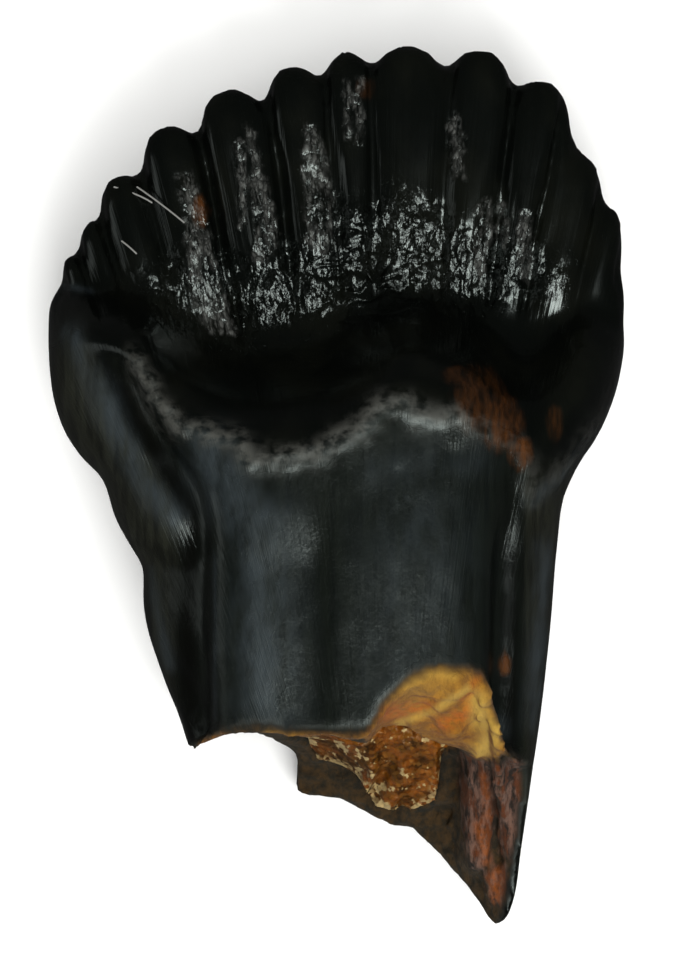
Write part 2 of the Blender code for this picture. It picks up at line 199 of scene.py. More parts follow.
# The edge of the enamel over the root, as (x, y), left of which a dark lobe hangs down the side.
ENAMEL_EDGE = (
    (-4.20, 1.90), (-3.40, 1.80), (-2.826, 1.68), (-2.507, 1.11), (-2.174, 0.74), (-1.868, 0.71),
    (-1.340, 0.55), (-1.190, 0.26), (-0.646, 0.33), (-0.229, 0.39), (0.049, 0.60), (0.340, 0.70),
    (0.632, 1.03), (0.910, 1.08), (1.063, 0.91), (1.340, 0.875), (1.688, 0.90), (1.854, 0.79),
    (2.201, 0.66), (2.410, 0.52), (2.590, 0.27), (2.70, -0.22), (3.20, 0.20), (3.66, 0.75), (4.20, 1.00),
)
# The groove between that lobe and the root, as (y, x).
LOBE_GROOVE = (
    (-6.00, -2.02), (-2.00, -2.02), (-0.60, -1.98), (-0.22, -2.04), (0.33, -2.37), (0.89, -2.73),
    (1.58, -3.06), (2.00, -3.28),
)

# Long grooves down the front of the root: a path of (y, x), half widths left and right of it, a depth,
# and the y over which it fades out.
GROOVES = (
    (LOBE_GROOVE, 0.40, 0.27, 0.26, 1.3, 2.1),
    (((-6.00, 2.36), (-2.00, 2.38), (0.00, 2.42), (0.70, 2.62)), 0.20, 0.20, 0.22, -1.2, 0.6),
)
# Between the grooves the root's front falls gently to the right, up to a low step, as (x, height).
ROOT_FRONT = (
    (-1.75, 0.02), (-1.50, 0.04), (-0.32, -0.05), (0.08, 0.02), (0.60, 0.02), (1.90, -0.02), (2.20, -0.04),
)

# Paler streaks, as soft lines: the places they pass through, a half width and a strength. Most are painted
# sheen, where the side lobe, the root's front, its right ridge and the neck catch the light; those on the
# break are paler dentine.
SHEEN_AND_PALE_STREAKS = (
    (((-3.62, 2.05), (-3.17, 1.17), (-2.95, 0.61), (-2.66, 0.06), (-2.24, -0.48)), 0.16, 1.00),
    (((-1.75, 0.38), (-1.25, -0.40), (-0.85, -1.05)), 0.34, 0.95),
    (((-1.00, -0.60), (-0.95, -3.00)), 0.42, 0.90),
    (((1.15, -0.70), (1.10, -2.40)), 0.75, 0.38),
    (((0.55, 0.15), (1.90, 0.35)), 0.30, 0.30),
    (((2.88, -0.90), (2.72, -3.30)), 0.15, 1.00),
    (((-2.56, -1.20), (-2.32, -2.50)), 0.10, 0.60),
    (((1.94, -2.95), (1.98, -3.25), (2.20, -3.36), (2.00, -3.70)), 0.15, 1.00),
    (((0.85, -3.30), (1.30, -3.12), (1.80, -2.80)), 0.07, 0.80),
    (((0.95, -2.75), (1.30, -2.60), (1.60, -2.62)), 0.10, 0.55),
    (((-1.66, -0.90), (-1.66, -3.20)), 0.03, 0.70),
    (((0.77, -0.36), (1.02, -0.19)), 0.04, 0.70),
    (((2.66, -0.25), (3.20, 0.20), (3.50, 0.55), (3.66, 0.75)), 0.09, 0.75),
    (((-3.82, 2.76), (-3.40, 2.66)), 0.05, 0.60),
)

# Pits and chips: x, y, radius and depth.
SPOTS = (
    (-1.00, 0.06, 0.11, 0.022),
    (1.58, 0.43, 0.12, 0.010),
    (0.86, 0.15, 0.10, 0.008),
    (3.10, -0.18, 0.06, 0.05),
    (2.88, -0.49, 0.06, 0.05),
    (2.98, -0.71, 0.06, 0.04),
    (-3.06, -0.45, 0.10, 0.06),
)

# Iron stains on the enamel and the root: x, y, half width, half height and strength.
STAINS = (
    (1.95, 1.15, 0.34, 0.45, 0.30), (2.25, 0.85, 0.30, 0.36, 0.50), (2.52, 0.42, 0.16, 0.22, 0.7),
    (1.68, 1.48, 0.22, 0.14, 0.2), (3.00, 0.82, 0.10, 0.24, 0.2), (-1.88, 3.76, 0.12, 0.20, 0.6),
    (2.31, -2.47, 0.07, 0.16, 0.6), (0.40, 5.47, 0.12, 0.14, 0.15),
)

# Outlines of what the break bares, as (x, y): creamy dentine, calcite, and the splinters beside it.
CREAM_OUTLINE = (
    (0.38, -3.44), (0.47, -3.17), (0.55, -2.94), (0.77, -2.78), (0.95, -2.60), (1.08, -2.50), (1.44, -2.45),
    (1.74, -2.46), (1.94, -2.48), (2.12, -2.60), (2.22, -2.80), (2.26, -3.00), (2.30, -3.10), (2.36, -3.25),
    (2.38, -3.38), (2.36, -3.60), (2.20, -3.78), (1.99, -3.81), (1.90, -3.79), (1.80, -3.68), (1.72, -3.64),
    (1.55, -3.68), (1.40, -3.58), (1.09, -3.52), (0.81, -3.43), (0.58, -3.42), (0.41, -3.56),
)
# The broken edge of the front wall is tan in two places.
TAN_EDGES = (
    ((-1.86, -3.58), (-1.70, -3.48), (-1.57, -3.42)),
    ((-0.95, -3.42), (-0.50, -3.46), (-0.09, -3.44), (0.19, -3.50), (0.40, -3.49)),
)
CALCITE_OUTLINE = (
    (-0.40, -3.30), (0.10, -3.20), (0.58, -3.00), (1.40, -3.00), (1.62, -3.30), (1.56, -3.60), (1.48, -3.76),
    (1.44, -4.10), (1.38, -4.42), (1.16, -4.56), (0.88, -4.61), (0.53, -4.50), (0.40, -4.25), (0.27, -4.07),
    (0.05, -3.94), (-0.24, -3.88), (-0.38, -3.70), (-0.42, -3.50),
)
SPLINTERS = (
    ((1.74, -3.74), (2.23, -3.76), (2.23, -4.25), (2.17, -4.81), (2.14, -5.36), (1.86, -5.34), (1.76, -4.81),
     (1.72, -4.25)),
    ((2.22, -3.80), (2.54, -3.78), (2.56, -4.39), (2.50, -4.94), (2.42, -5.22), (2.26, -5.12), (2.24, -4.67),
     (2.24, -4.25)),
    ((2.04, -5.42), (2.34, -5.26), (2.38, -5.50), (2.32, -5.84), (2.14, -5.82)),
)
# Lumps of dentine that stand out of the break: x, y, radius and height.
LUMPS = (
    (2.20, -3.36, 0.20, 0.195), (2.00, -3.64, 0.17, 0.195), (2.08, -2.86, 0.15, 0.180),
    (1.97, -3.12, 0.13, 0.150), (1.66, -2.72, 0.18, 0.165), (1.22, -2.72, 0.18, 0.180),
    (0.92, -3.02, 0.16, 0.120), (1.45, -3.02, 0.12, 0.135), (1.60, -3.34, 0.13, 0.150),
    (1.10, -3.28, 0.12, 0.105), (0.66, -3.18, 0.12, 0.105),
)
# Streaks of orange and of paler dentine on it: the places they pass through, a half width and a strength.
ORANGE_STREAKS = (
    (((0.70, -3.14), (1.28, -3.06)), 0.13, 0.90),
    (((1.45, -3.30), (1.80, -3.14), (1.84, -2.90)), 0.12, 0.90),
    (((1.95, -2.60), (1.72, -2.95)), 0.06, 0.60),
    (((2.04, -4.05), (2.10, -4.60)), 0.06, 0.50),
    (((2.22, -5.40), (2.20, -5.85)), 0.08, 0.80),
    (((1.98, -4.75), (2.10, -5.25)), 0.08, 0.70),
)

# Lint fibres on the crown, as (x, y, height over the enamel), and their thickness.
FIBRES = (
    ((-3.08, 4.11, 0.00), (-2.73, 4.01, 0.06), (-2.55, 3.89, 0.02)),
    ((-2.76, 4.11, 0.02), (-2.45, 3.90, 0.08), (-2.10, 3.61, 0.01)),
    ((-2.97, 3.36, 0.01), (-2.86, 3.28, 0.03), (-2.76, 3.18, 0.01)),
)
FIBRE_THICKNESS = 0.025

# Lamps: name, azimuth from +Y towards +X, height, distance and width in metres, radiance, and whether
# the polished enamel mirrors it.
LAMPS = (
    ("soft box over the root", 162, 59, 0.12, 0.060, 12, True),
    ("weak light from the left", -95, 12, 0.12, 0.05, 0.6, True),
    ("broad ceiling light", 0, 80, 0.30, 0.30, 4.2, False),
)
ROOM_LIGHT = 0.032
CARD_SIZE = 0.6

# The camera, in millimetres: the middle of the view, how much of the tooth's plane it takes in from top
# to bottom, and the height of that plane.
LENS = 400
SENSOR = 36
VIEW_MIDDLE = (0.125, 0.028)
VIEW_HEIGHT = 13.389
VIEW_LEVEL = 2.1

# The meshes, in millimetres: voxels, what smoothing the first mesh takes off its surface, and the band
# of the crown that is split once more for its wrinkles, as its lowest and highest x, then y.
FIRST_VOXEL = 0.085
SKIN_VOXEL = 0.085
CALCITE_VOXEL = 0.030
SMOOTHED_AWAY = 0.02
FINE_BAND = (-2.5, 2.9, 2.1, 3.7)
# A normal's z from which a surface starts to face the viewer, and from which it does so fully.
FACING = (0.12, 0.35)

# Small cells in each millimetre: crumpled enamel's plates across and along the ridges, and the grains of
# the calcite along x, y and z.
PLATES_PER_MM = (14, 8, 0)
GRAINS_PER_MM = (17, 17, 8)
# Relief that the materials add, in millimetres.
PLATE_RELIEF = 0.050
GROWTH_LINE_RELIEF = 0.005
PIT_RELIEF = 0.008
GRAIN_RELIEF = 0.05

# Roughness of the plain surfaces, and how much each zone of the mesh adds to it.
ROOT_ROUGHNESS = 0.18
ENAMEL_ROUGHNESS = 0.16
DULLER_ZONES = (("edge", 0.36), ("satin", 0.17), ("pale", 0.10), ("near_break", 0.80), ("broken", 0.70))
# Zones that mark_materials stores on the mesh for the tooth's material to read.
ZONES = ("enamel", "satin", "groove", "bark", "wrinkled", "edge", "pale", "orange", "stain", "cream",
         "splinter", "near_break", "broken")

# Settings that many nodes share.
COLOURS = {"data_type": "RGBA"}
TIMES = {"operation": "MULTIPLY"}
TIMES_PLUS = {"operation": "MULTIPLY_ADD"}
MINUS = {"operation": "SUBTRACT"}
SOFT_STEP = {"interpolation_type": "SMOOTHSTEP"}


def smooth(points, at):
    """Monotone cubic curve through the points, level past both ends."""
    where, value = np.array(points, float).T
    slope = np.diff(value) / np.diff(where)
    product = slope[:-1] * slope[1:]
    total = slope[:-1] + slope[1:]
    inner = np.where(product > 0, 2 * product / np.where(product > 0, total, 1), 0)
    tangent = np.concatenate(([slope[0]], inner, [slope[-1]]))
    at = np.clip(at, where[0], where[-1])
    i = np.clip(np.searchsorted(where, at) - 1, 0, len(where) - 2)
    span = where[i + 1] - where[i]
    t = (at - where[i]) / span
    rise = t * t * (3 - 2 * t)
    bend = t * (1 - t) * span * ((1 - t) * tangent[i] - t * tangent[i + 1])
    return value[i] * (1 - rise) + value[i + 1] * rise + bend


def ease(low, high, at):
    """0 below low, 1 above high and smooth between; low may be the larger."""
    t = np.clip((at - low) / (high - low), 0, 1)
    return t * t * (3 - 2 * t)


def signed_power(value, power):
    return np.sign(value) * np.abs(value) ** power


def grain(points, size, seed):
    """Smooth random hills from about -1 to 1; size is the width of a hill along x, y and z."""
    scaled = points / np.array(size)
    cell = np.floor(scaled).astype(np.int64)
    part = scaled - cell
    weight = part ** 3 * (part * (part * 6 - 15) + 10)
    total = np.zeros(len(points))
    for corner in np.ndindex(2, 2, 2):
        at = cell + np.array(corner)
        key = at[:, 0] * 73856093 ^ at[:, 1] * 19349663 ^ at[:, 2] * 83492791 ^ (seed + 1) * 2654435761
        key = ((key ^ (key >> 15)) * 2246822519) & 0xFFFFFFFF
        key = ((key ^ (key >> 13)) * 3266489917) & 0xFFFFFFFF
        turn = (key & 0xFFFF) * (2 * math.pi / 65536)
        lift = (key >> 16) / 32768 - 1
        flat = np.sqrt(np.maximum(0, 1 - lift * lift))
        away = part - np.array(corner)
        slope = away[:, 0] * flat * np.cos(turn) + away[:, 1] * flat * np.sin(turn) + away[:, 2] * lift
        total += slope * np.prod(np.where(corner, weight, 1 - weight), axis=1)
    return total * 1.7


def only(obj):
    bpy.ops.object.select_all(action="DESELECT")
    obj.select_set(True)
    bpy.context.view_layer.objects.active = obj


def apply_modifier(obj, kind, **settings):
    only(obj)
    modifier = obj.modifiers.new(kind.lower(), kind)
    for key, value in settings.items():
        setattr(modifier, key, value)
    bpy.ops.object.modifier_apply(modifier=modifier.name)


def join(objects):
    only(objects[0])
    for obj in objects:
        obj.select_set(True)
    bpy.ops.object.join()
    return objects[0]


def places(obj):
    out = np.empty(len(obj.data.vertices) * 3, np.float32)
    obj.data.vertices.foreach_get("co", out)
    return out.reshape(-1, 3).astype(float)


def normals(obj):
    out = np.empty(len(obj.data.vertices) * 3, np.float32)
    obj.data.vertex_normals.foreach_get("vector", out)
    return out.reshape(-1, 3).astype(float)


def move_to(obj, co):
    obj.data.vertices.foreach_set("co", co.astype(np.float32).ravel())
    obj.data.update()


def sphere(name, segments, rings):
    """A unit sphere with its poles on Z, as rings to be reshaped."""
    bpy.ops.object.select_all(action="DESELECT")
    bpy.ops.mesh.primitive_uv_sphere_add(segments=segments, ring_count=rings, radius=1)
    obj = bpy.context.active_object
    obj.name = name
    return obj


def crest_shift(x, y):
    return smooth(CREST_SHIFT, x) * np.clip((3.8 - y) / 2, 0, 1)


def lofted(name, ends, left, right, front, back, level, squareness, shift=None, segments=160, rings=240):
    """A closed solid through superellipse sections that stand across Y; a sphere's rings make them."""
    obj = sphere(name, segments, rings)
    co = places(obj)
    down = np.arccos(np.clip(co[:, 2], -1, 1)) / math.pi
    y = ends[1] + (ends[0] - ends[1]) * down
    turn = np.arctan2(co[:, 1], co[:, 0])
    shrink = np.where((down < 1e-6) | (down > 1 - 1e-6), 0, 1)
    power = 2 / smooth(squareness, y)
    across = signed_power(np.cos(turn), power) * shrink
    up = signed_power(np.sin(turn), power) * shrink
    x0, x1 = smooth(left, y), smooth(right, y)
    x = (x0 + x1) / 2 + (x1 - x0) / 2 * across
    reach = y + shift(x, y) if shift else y
    top, bottom, middle = smooth(front, reach), smooth(back, y), smooth(level, y)
    z = middle + np.where(up > 0, top - middle, middle - bottom) * up
    move_to(obj, np.stack([x, y, z], 1))
    return face_out(obj)


def face_out(obj):
    only(obj)
    bpy.ops.object.mode_set(mode="EDIT")
    bpy.ops.mesh.select_all(action="SELECT")
    bpy.ops.mesh.normals_make_consistent(inside=False)
    bpy.ops.object.mode_set(mode="OBJECT")
    return obj


def denticle(tip_x, tip_y, slant, width, length, level):
    """A flat-topped finger whose end is the tip, and which runs down into the crown along its ridge."""
    obj = sphere("denticle", 64, 48)
    co = places(obj)
    out = np.hypot(co[:, 0], co[:, 2])
    round_out = np.abs(co[:, 0]) ** DENTICLE_ROUNDNESS + np.abs(co[:, 2]) ** DENTICLE_ROUNDNESS
    grow = out / np.maximum(round_out ** (1 / DENTICLE_ROUNDNESS), 1e-9)
    along = co[:, 2] * grow * length / 2 - length / 2
    across = co[:, 0] * grow * width / 2
    thick = np.sign(co[:, 1]) * (1 - np.minimum(out, 1) ** DENTICLE_FLATNESS) ** (1 / DENTICLE_FLATNESS)
    thick = np.where(thick < 0, thick * (0.4 + 0.6 * ease(0.1, 1.5, -along)), thick)
    axis = np.array([slant, 1.0]) / np.hypot(slant, 1.0)
    x = tip_x + axis[0] * along + axis[1] * across
    y = tip_y + axis[1] * along - axis[0] * across
    move_to(obj, np.stack([x, y, level + thick * DENTICLE_THICKNESS / 2], 1))
    return face_out(obj)


def raised_block(name, bm, faces, height):
    """Makes a closed block of some faces, with a flat top at the height."""
    raised = bmesh.ops.extrude_face_region(bm, geom=faces, use_keep_orig=True)["geom"]
    for vert in raised:
        if isinstance(vert, bmesh.types.BMVert):
            vert.co.z = height
    bmesh.ops.recalc_face_normals(bm, faces=bm.faces)
    mesh = bpy.data.meshes.new(name)
    bm.to_mesh(mesh)
    bm.free()
    obj = bpy.data.objects.new(name, mesh)
    bpy.context.scene.collection.objects.link(obj)
    return obj


def outline_block(name, outline, low, high):
    bm = bmesh.new()
    base = bm.faces.new([bm.verts.new((x, y, low)) for x, y in outline])
    return raised_block(name, bm, [base], high)


def front_break():
    """The lost front wall: a block whose underside is the rough face of the break."""
    across = np.concatenate(([-3.2, -2.6, -2.0], np.linspace(-1.6, 2.8, 110), [3.2, 3.6]))
    past = np.concatenate(([0.0, 0.04], np.linspace(0.1, 3.9, 90)))
    x, s = np.meshgrid(across, past)
    y = smooth(FRONT_BREAK, x) - s
    stations = [place for place, _ in BREAK_FACE]
    z = np.array([np.interp(across, stations, [smooth(face, row) for _, face in BREAK_FACE]) for row in past])
    bm = bmesh.new()
    rows, columns = x.shape
    lower = [[bm.verts.new((x[r, c], y[r, c], z[r, c])) for c in range(columns)] for r in range(rows)]
    faces = [bm.faces.new((lower[r][c], lower[r][c + 1], lower[r + 1][c + 1], lower[r + 1][c]))
             for r in range(rows - 1) for c in range(columns - 1)]
    return raised_block("front_break", bm, faces, ABOVE_ALL)


def cavity(name, gap):
    """The pulp cavity, or with a gap the calcite that fills it."""
    def moved(points, by):
        return tuple((y, value + by) for y, value in points)
    return lofted(name, (CAVITY_OPEN_END, CAVITY_TOP - gap), moved(CAVITY_LEFT, gap),
                  moved(CAVITY_RIGHT, -gap), moved(CAVITY_FRONT, -gap), moved(CAVITY_BACK, gap),
                  CAVITY_LEVEL, CAVITY_SQUARENESS, segments=64, rings=80)


def cut(obj, cutters):
    for cutter in cutters:
        apply_modifier(obj, "BOOLEAN", operation="DIFFERENCE", solver="EXACT", object=cutter)


def remove(objects):
    for obj in objects:
        bpy.data.objects.remove(obj, do_unlink=True)


def select_faces(obj, wanted):
    """Selects the faces whose vertices are all wanted, for edit mode to work on."""
    only(obj)
    corner = np.empty(len(obj.data.loops), int)
    obj.data.loops.foreach_get("vertex_index", corner)
    start = np.empty(len(obj.data.polygons), int)
    obj.data.polygons.foreach_get("loop_start", start)
    chosen = np.minimum.reduceat(wanted[corner].astype(int), start).astype(bool)
    bpy.ops.object.mode_set(mode="EDIT")
    bpy.ops.mesh.select_mode(type="FACE")
    bpy.ops.mesh.select_all(action="DESELECT")
    bpy.ops.object.mode_set(mode="OBJECT")
    obj.data.polygons.foreach_set("select", chosen)


def refine(obj, wanted):
    """Splits the wanted faces in four and smooths away the flat spots that this leaves."""
    select_faces(obj, wanted)
    bpy.ops.object.mode_set(mode="EDIT")
    bpy.ops.mesh.subdivide(number_cuts=1)
    bpy.ops.mesh.vertices_smooth(factor=0.5, repeat=3)
    bpy.ops.object.mode_set(mode="OBJECT")


def thin_out(obj, wanted, ratio):
    """Takes faces away where nothing fine is carved."""
    group = obj.vertex_groups.new(name="thin")
    group.add([int(i) for i in np.flatnonzero(wanted)], 1.0, "REPLACE")
    apply_modifier(obj, "DECIMATE", ratio=ratio, vertex_group=group.name, vertex_group_factor=1.0)
    obj.vertex_groups.clear()


def in_front(normal):
    """1 where the surface faces the viewer, 0 on the sides and the back."""
    return ease(*FACING, normal[:, 2])


def tooth_form():
    """Crown, root and denticles run together into one skin, with the break and the cavity cut."""
    body = lofted("tooth_form", BODY_ENDS, LEFT_EDGE, RIGHT_EDGE, FRONT, BACK, WIDEST_LEVEL, SQUARENESS,
                  crest_shift)
    form = join([body] + [denticle(*row) for row in DENTICLES])
    apply_modifier(form, "REMESH", mode="VOXEL", voxel_size=FIRST_VOXEL)
    apply_modifier(form, "SMOOTH", factor=0.5, iterations=3)
    move_to(form, places(form) + normals(form) * SMOOTHED_AWAY)
    cutters = [outline_block("lost_root", LOST_ROOT, BELOW_ALL, ABOVE_ALL), front_break(),
               cavity("pulp_cavity", 0.0), outline_block("floor", AROUND_ALL, BELOW_ALL, 0.0)]
    cut(form, cutters)
    remove(cutters)
    apply_modifier(form, "REMESH", mode="VOXEL", voxel_size=SKIN_VOXEL)
    co, normal = places(form), normals(form)
    refine(form, (normal[:, 2] > 0.25) & (co[:, 1] > 0.1) | (normal[:, 2] > 0.1) & (broken(co) > 0))
    co, normal = places(form), normals(form)
    x_low, x_high, y_low, y_high = FINE_BAND
    in_band = (co[:, 1] > y_low) & (co[:, 1] < y_high) & (co[:, 0] > x_low) & (co[:, 0] < x_high)
    refine(form, (normal[:, 2] > 0.3) & in_band)
    co, normal = places(form), normals(form)
    thin_out(form, (normal[:, 2] < 0.0) & (co[:, 1] < 3.0), 0.95)
    return form


def fan(co):
    """Place across the ridges, as x run per y from the fan's point, and the distance from that point."""
    return (co[:, 0] - FAN_X) / (co[:, 1] - FAN_Y), np.hypot(co[:, 0] - FAN_X, co[:, 1] - FAN_Y)


def fan_place(co):
    """Coordinates that run along the ridges: x across them at the crown's middle, and y along them."""
    across, away = fan(co)
    return np.stack([across * FAN_REACH, away, co[:, 2]], 1)


def ridge_relief(co):
    """1 on the crests of the ridges, 0 in the narrow valleys between them."""
    across, _ = fan(co)
    marks = sorted([(place, 1.0) for place in RIDGES] + [(place, 0.0) for place in VALLEYS])
    place, height = zip(*marks)
    slope = np.interp(across, place, height)
    return 1 - (1 - slope) ** (1.9 + 3 * ease(3.8, 5.2, co[:, 1]))


def crease(value, sharpness):
    """Thin creases where a random field crosses zero: 1 in the crease, 0 away from it."""
    return np.clip(1 - np.abs(value) * sharpness, 0, 1) ** 1.5


def bark_zone(co):
    """The strips of wrinkled enamel on the slopes of the ridges."""
    return np.maximum.reduce([inside(co, outline, 0.04, 0.06) for outline in STRIPS])


def wrinkle_zone(co):
    """Where the enamel is crumpled: a band across the crown, and strips that climb the ridges from it."""
    x, y = co[:, 0], co[:, 1]
    bend = 0.16 * grain(co, (0.7, 0.7, 0.7), 3) + 0.10 * grain(co, (0.25, 0.25, 0.25), 4)
    band = ease(-0.30, 0.20, y + bend - smooth(WRINKLES_START, x))
    band *= 1 - ease(-0.25, 0.25, y + bend - smooth(WRINKLES_END, x))
    band *= ease(-3.2, -2.5, x) * (1 - ease(3.0, 3.4, x))
    return np.maximum(band, bark_zone(co))


def middle_part(co):
    """1 in the middle of the crown, where the wrinkles run across, and 0 where they follow the ridges."""
    return np.exp(-((co[:, 0] - 0.45) / 0.85) ** 4) * (1 - ease(3.1, 3.9, co[:, 1]))


def wrinkles(co):
    """Crumpled relief of the enamel, in millimetres."""
    place = fan_place(co)
    shake = np.stack([grain(co, (0.28, 0.28, 0.9), 5), grain(co, (0.28, 0.28, 0.9), 6)], 1) * 0.06
    place[:, :2] += shake
    along = middle_part(co)
    bark = grain(place, (0.20, 0.62, 9), 11) * 0.026 - crease(grain(place, (0.18, 0.52, 9), 12), 3) * 0.028
    waves = grain(place, (0.56, 0.27, 9), 13) * 0.050 - crease(grain(place, (0.40, 0.20, 9), 14), 3) * 0.030
    plates = grain(place, (0.11, 0.15, 9), 15) * 0.010
    return bark * (1 - along) + waves * along + plates


def carve_fan(co):
    """Height of the ridges of the crown over their valleys, in millimetres."""
    y = co[:, 1]
    across, away = fan(co)
    height = RIDGE_HEIGHT * (ridge_relief(co) - 0.6) * ease(1.9, 3.3, y) * (1 - 0.45 * ease(4.4, 5.6, y))
    for place, low, high, depth, width in FAN_GROOVES:
        line = np.exp(-((across - place) * away / width) ** 2)
        height -= depth * line * ease(low - 0.25, low + 0.15, y) * (1 - ease(high - 0.3, high + 0.3, y))
    return height


def past_edge(co):
    """Distance up the crown from the enamel's edge, less than 0 on the root."""
    above = co[:, 1] > np.interp(co[:, 0], *np.array(ENAMEL_EDGE).T)
    return distance_to(co, ENAMEL_EDGE) * np.where(above, 1, -1) + 0.05 * grain(co, (0.30, 0.30, 0.30), 21)


def satin_sides(co):
    """1 on the satin strips left and right of the long grooves."""
    x, y = co[:, 0], co[:, 1]
    left = ease(0.06, 0.30, smooth(LOBE_GROOVE, y) - x) * (1 - ease(1.5, 2.4, y))
    return np.maximum(left, ease(2.52, 2.66, x) * (1 - ease(-0.3, 0.5, y)))


def side_lobe(co):
    """1 on the dark lobe that hangs down the left side of the crown, and 0 past the groove beside it."""
    x, y = co[:, 0], co[:, 1]
    return ease(-0.05, 0.12, smooth(LOBE_GROOVE, y) - x) * ease(-1.1, -0.1, y)


def enamel_lip(co, past):
    """1 on the low lip that the enamel ends in; it starts at the groove beside the lobe. The material lays a
    lighter grey on it, partly a painted highlight along its crest.
    """
    return np.exp(-((past - 0.04) / 0.15) ** 2) * ease(-2.98, -2.72, co[:, 0]) * (1 - side_lobe(co))


def carve_edge(co):
    """The enamel ends in a low worn lip that is mottled; the root is a little lower."""
    past = past_edge(co)
    away = (1 - side_lobe(co)) * ease(-3.10, -2.80, co[:, 0])
    step = -0.010 * (1 - ease(-0.12, 0.08, past))
    lip = enamel_lip(co, past)
    mottle = 0.020 * grain(co, (0.20, 0.15, 0.3), 22) + 0.010 * grain(co, (0.10, 0.09, 0.1), 23) + 0.02
    return step * away + mottle * lip


def in_groove(co, row, narrower=1.0):
    """1 along the bottom of one of the long grooves, 0 away from it."""
    path, left, right, _, low, high = row
    off = (co[:, 0] - smooth(path, co[:, 1])) * narrower
    return (1 - ease(low, high, co[:, 1])) * np.exp(-(off / np.where(off < 0, left, right)) ** 2)


def carve_root(co):
    """Two long grooves, a shallow one between them and slight unevenness."""
    x, y = co[:, 0], co[:, 1]
    height = 0.012 * grain(co, (0.5, 1.6, 0.5), 31) + 0.004 * grain(co, (0.16, 0.34, 0.16), 32)
    height = height * (1 - ease(0.1, 0.6, y)) + smooth(ROOT_FRONT, x) * (1 - ease(-1.2, -0.3, y))
    for row in GROOVES:
        height -= row[3] * in_groove(co, row)
    return height


def mound(co, x, y, radius):
    """A round mound at a place, 1 at its middle."""
    return np.exp(-((co[:, 0] - x) ** 2 + (co[:, 1] - y) ** 2) / radius ** 2)


def carve_spots(co):
    height = np.zeros(len(co))
    for x, y, radius, depth in SPOTS:
        height -= depth * mound(co, x, y, radius)
    return height


def break_height(co):
    """Height of the rough face of the break at each x and y, and how far past its edge the place lies."""
    x, y = co[:, 0], co[:, 1]
    past = smooth(FRONT_BREAK, x) - y
    stations = np.array([place for place, _ in BREAK_FACE])
    heights = np.array([smooth(face, past) for _, face in BREAK_FACE])
    i = np.clip(np.searchsorted(stations, x) - 1, 0, len(stations) - 2)
    part = np.clip((x - stations[i]) / (stations[i + 1] - stations[i]), 0, 1)
    every = np.arange(len(x))
    return heights[i, every] * (1 - part) + heights[i + 1, every] * part, past


def in_cavity(co):
    """1 on the walls of the pulp cavity."""
    x, y, z = co.T
    left, right = smooth(CAVITY_LEFT, y), smooth(CAVITY_RIGHT, y)
    front, back, level = smooth(CAVITY_FRONT, y), smooth(CAVITY_BACK, y), smooth(CAVITY_LEVEL, y)
    across = (x - (left + right) / 2) / ((right - left) / 2 + 0.06)
    up = (z - level) / (np.where(z > level, front - level, level - back) + 0.06)
    return (across ** 2 + up ** 2 < 1) & (y < CAVITY_TOP + 0.05)


def distance_to(co, path):
    """Distance of each place from a path of (x, y), as seen from above."""
    best = np.full(len(co), 1e9)
    for (ax, ay), (bx, by) in zip(path, path[1:]):
        part = ((co[:, 0] - ax) * (bx - ax) + (co[:, 1] - ay) * (by - ay)) / ((bx - ax) ** 2 + (by - ay) ** 2)
        part = np.clip(part, 0, 1)
        best = np.minimum(best, np.hypot(co[:, 0] - ax - part * (bx - ax), co[:, 1] - ay - part * (by - ay)))
    return best


def inside(co, outline, blur=0.04, ragged=0.04):
    """1 inside a closed outline seen from above, 0 outside it, with a ragged soft border."""
    crossed = np.zeros(len(co), bool)
    closed = outline + outline[:1]
    x, y = co[:, 0], co[:, 1]
    for (ax, ay), (bx, by) in zip(closed, closed[1:]):
        if ay != by:
            crossed ^= ((y < ay) != (y < by)) & (x < ax + (y - ay) * (bx - ax) / (by - ay))
    reach = distance_to(co, closed) * np.where(crossed, 1, -1) + ragged * grain(co, (0.15, 0.15, 0.15), 62)
    return ease(-blur, blur, reach)


def right_skin(co):
    """The thin strip of the root's outer surface that is left at the right of the splinters."""
    return (co[:, 0] > smooth(RIGHT_EDGE, co[:, 1]) - 0.12) & (co[:, 1] < -3.6)


def broken(co):
    """1 where the surface is a break or the wall of the cavity."""
    height, past = break_height(co)
    face = (past > -0.03) & (np.abs(co[:, 2] - height) < 0.22) & (co[:, 2] > 0.4)
    upright = (np.abs(past) < 0.06) & (co[:, 2] > height - 0.1)
    deep = (past > 0.02) & (co[:, 2] > 0.75) & (co[:, 2] < height + 0.22) & (co[:, 0] > -0.5)
    deep &= co[:, 0] < smooth(RIGHT_EDGE, co[:, 1]) - 0.2
    bare = face | upright | deep | in_cavity(co) | (distance_to(co, LOST_ROOT[1:-3]) < 0.06)
    return (bare & ~right_skin(co)).astype(float)


def below_rim(co):
    """Depth under the upper rim of the broken wall."""
    return smooth(RIM_HEIGHT, co[:, 0]) - co[:, 2]


def hollow_walls(co):
    """Hollows in the steep walls of the break, under rims that hide them from the front."""
    left = ease(0.20, 0.90, below_rim(co)) * ease(-1.0, -1.4, co[:, 0])
    low = ease(0.12, 0.50, LEDGE_HEIGHT - co[:, 2]) * ease(-0.2, 0.3, co[:, 0])
    depth = 0.16 + 0.15 * grain(co, (0.55, 0.4, 0.45), 46) + 0.07 * grain(co, (0.20, 0.2, 0.18), 47)
    depth += 0.03 * grain(co, (0.10, 0.1, 0.35), 48)
    return np.clip(depth, 0, 0.4) * np.maximum(left, low)


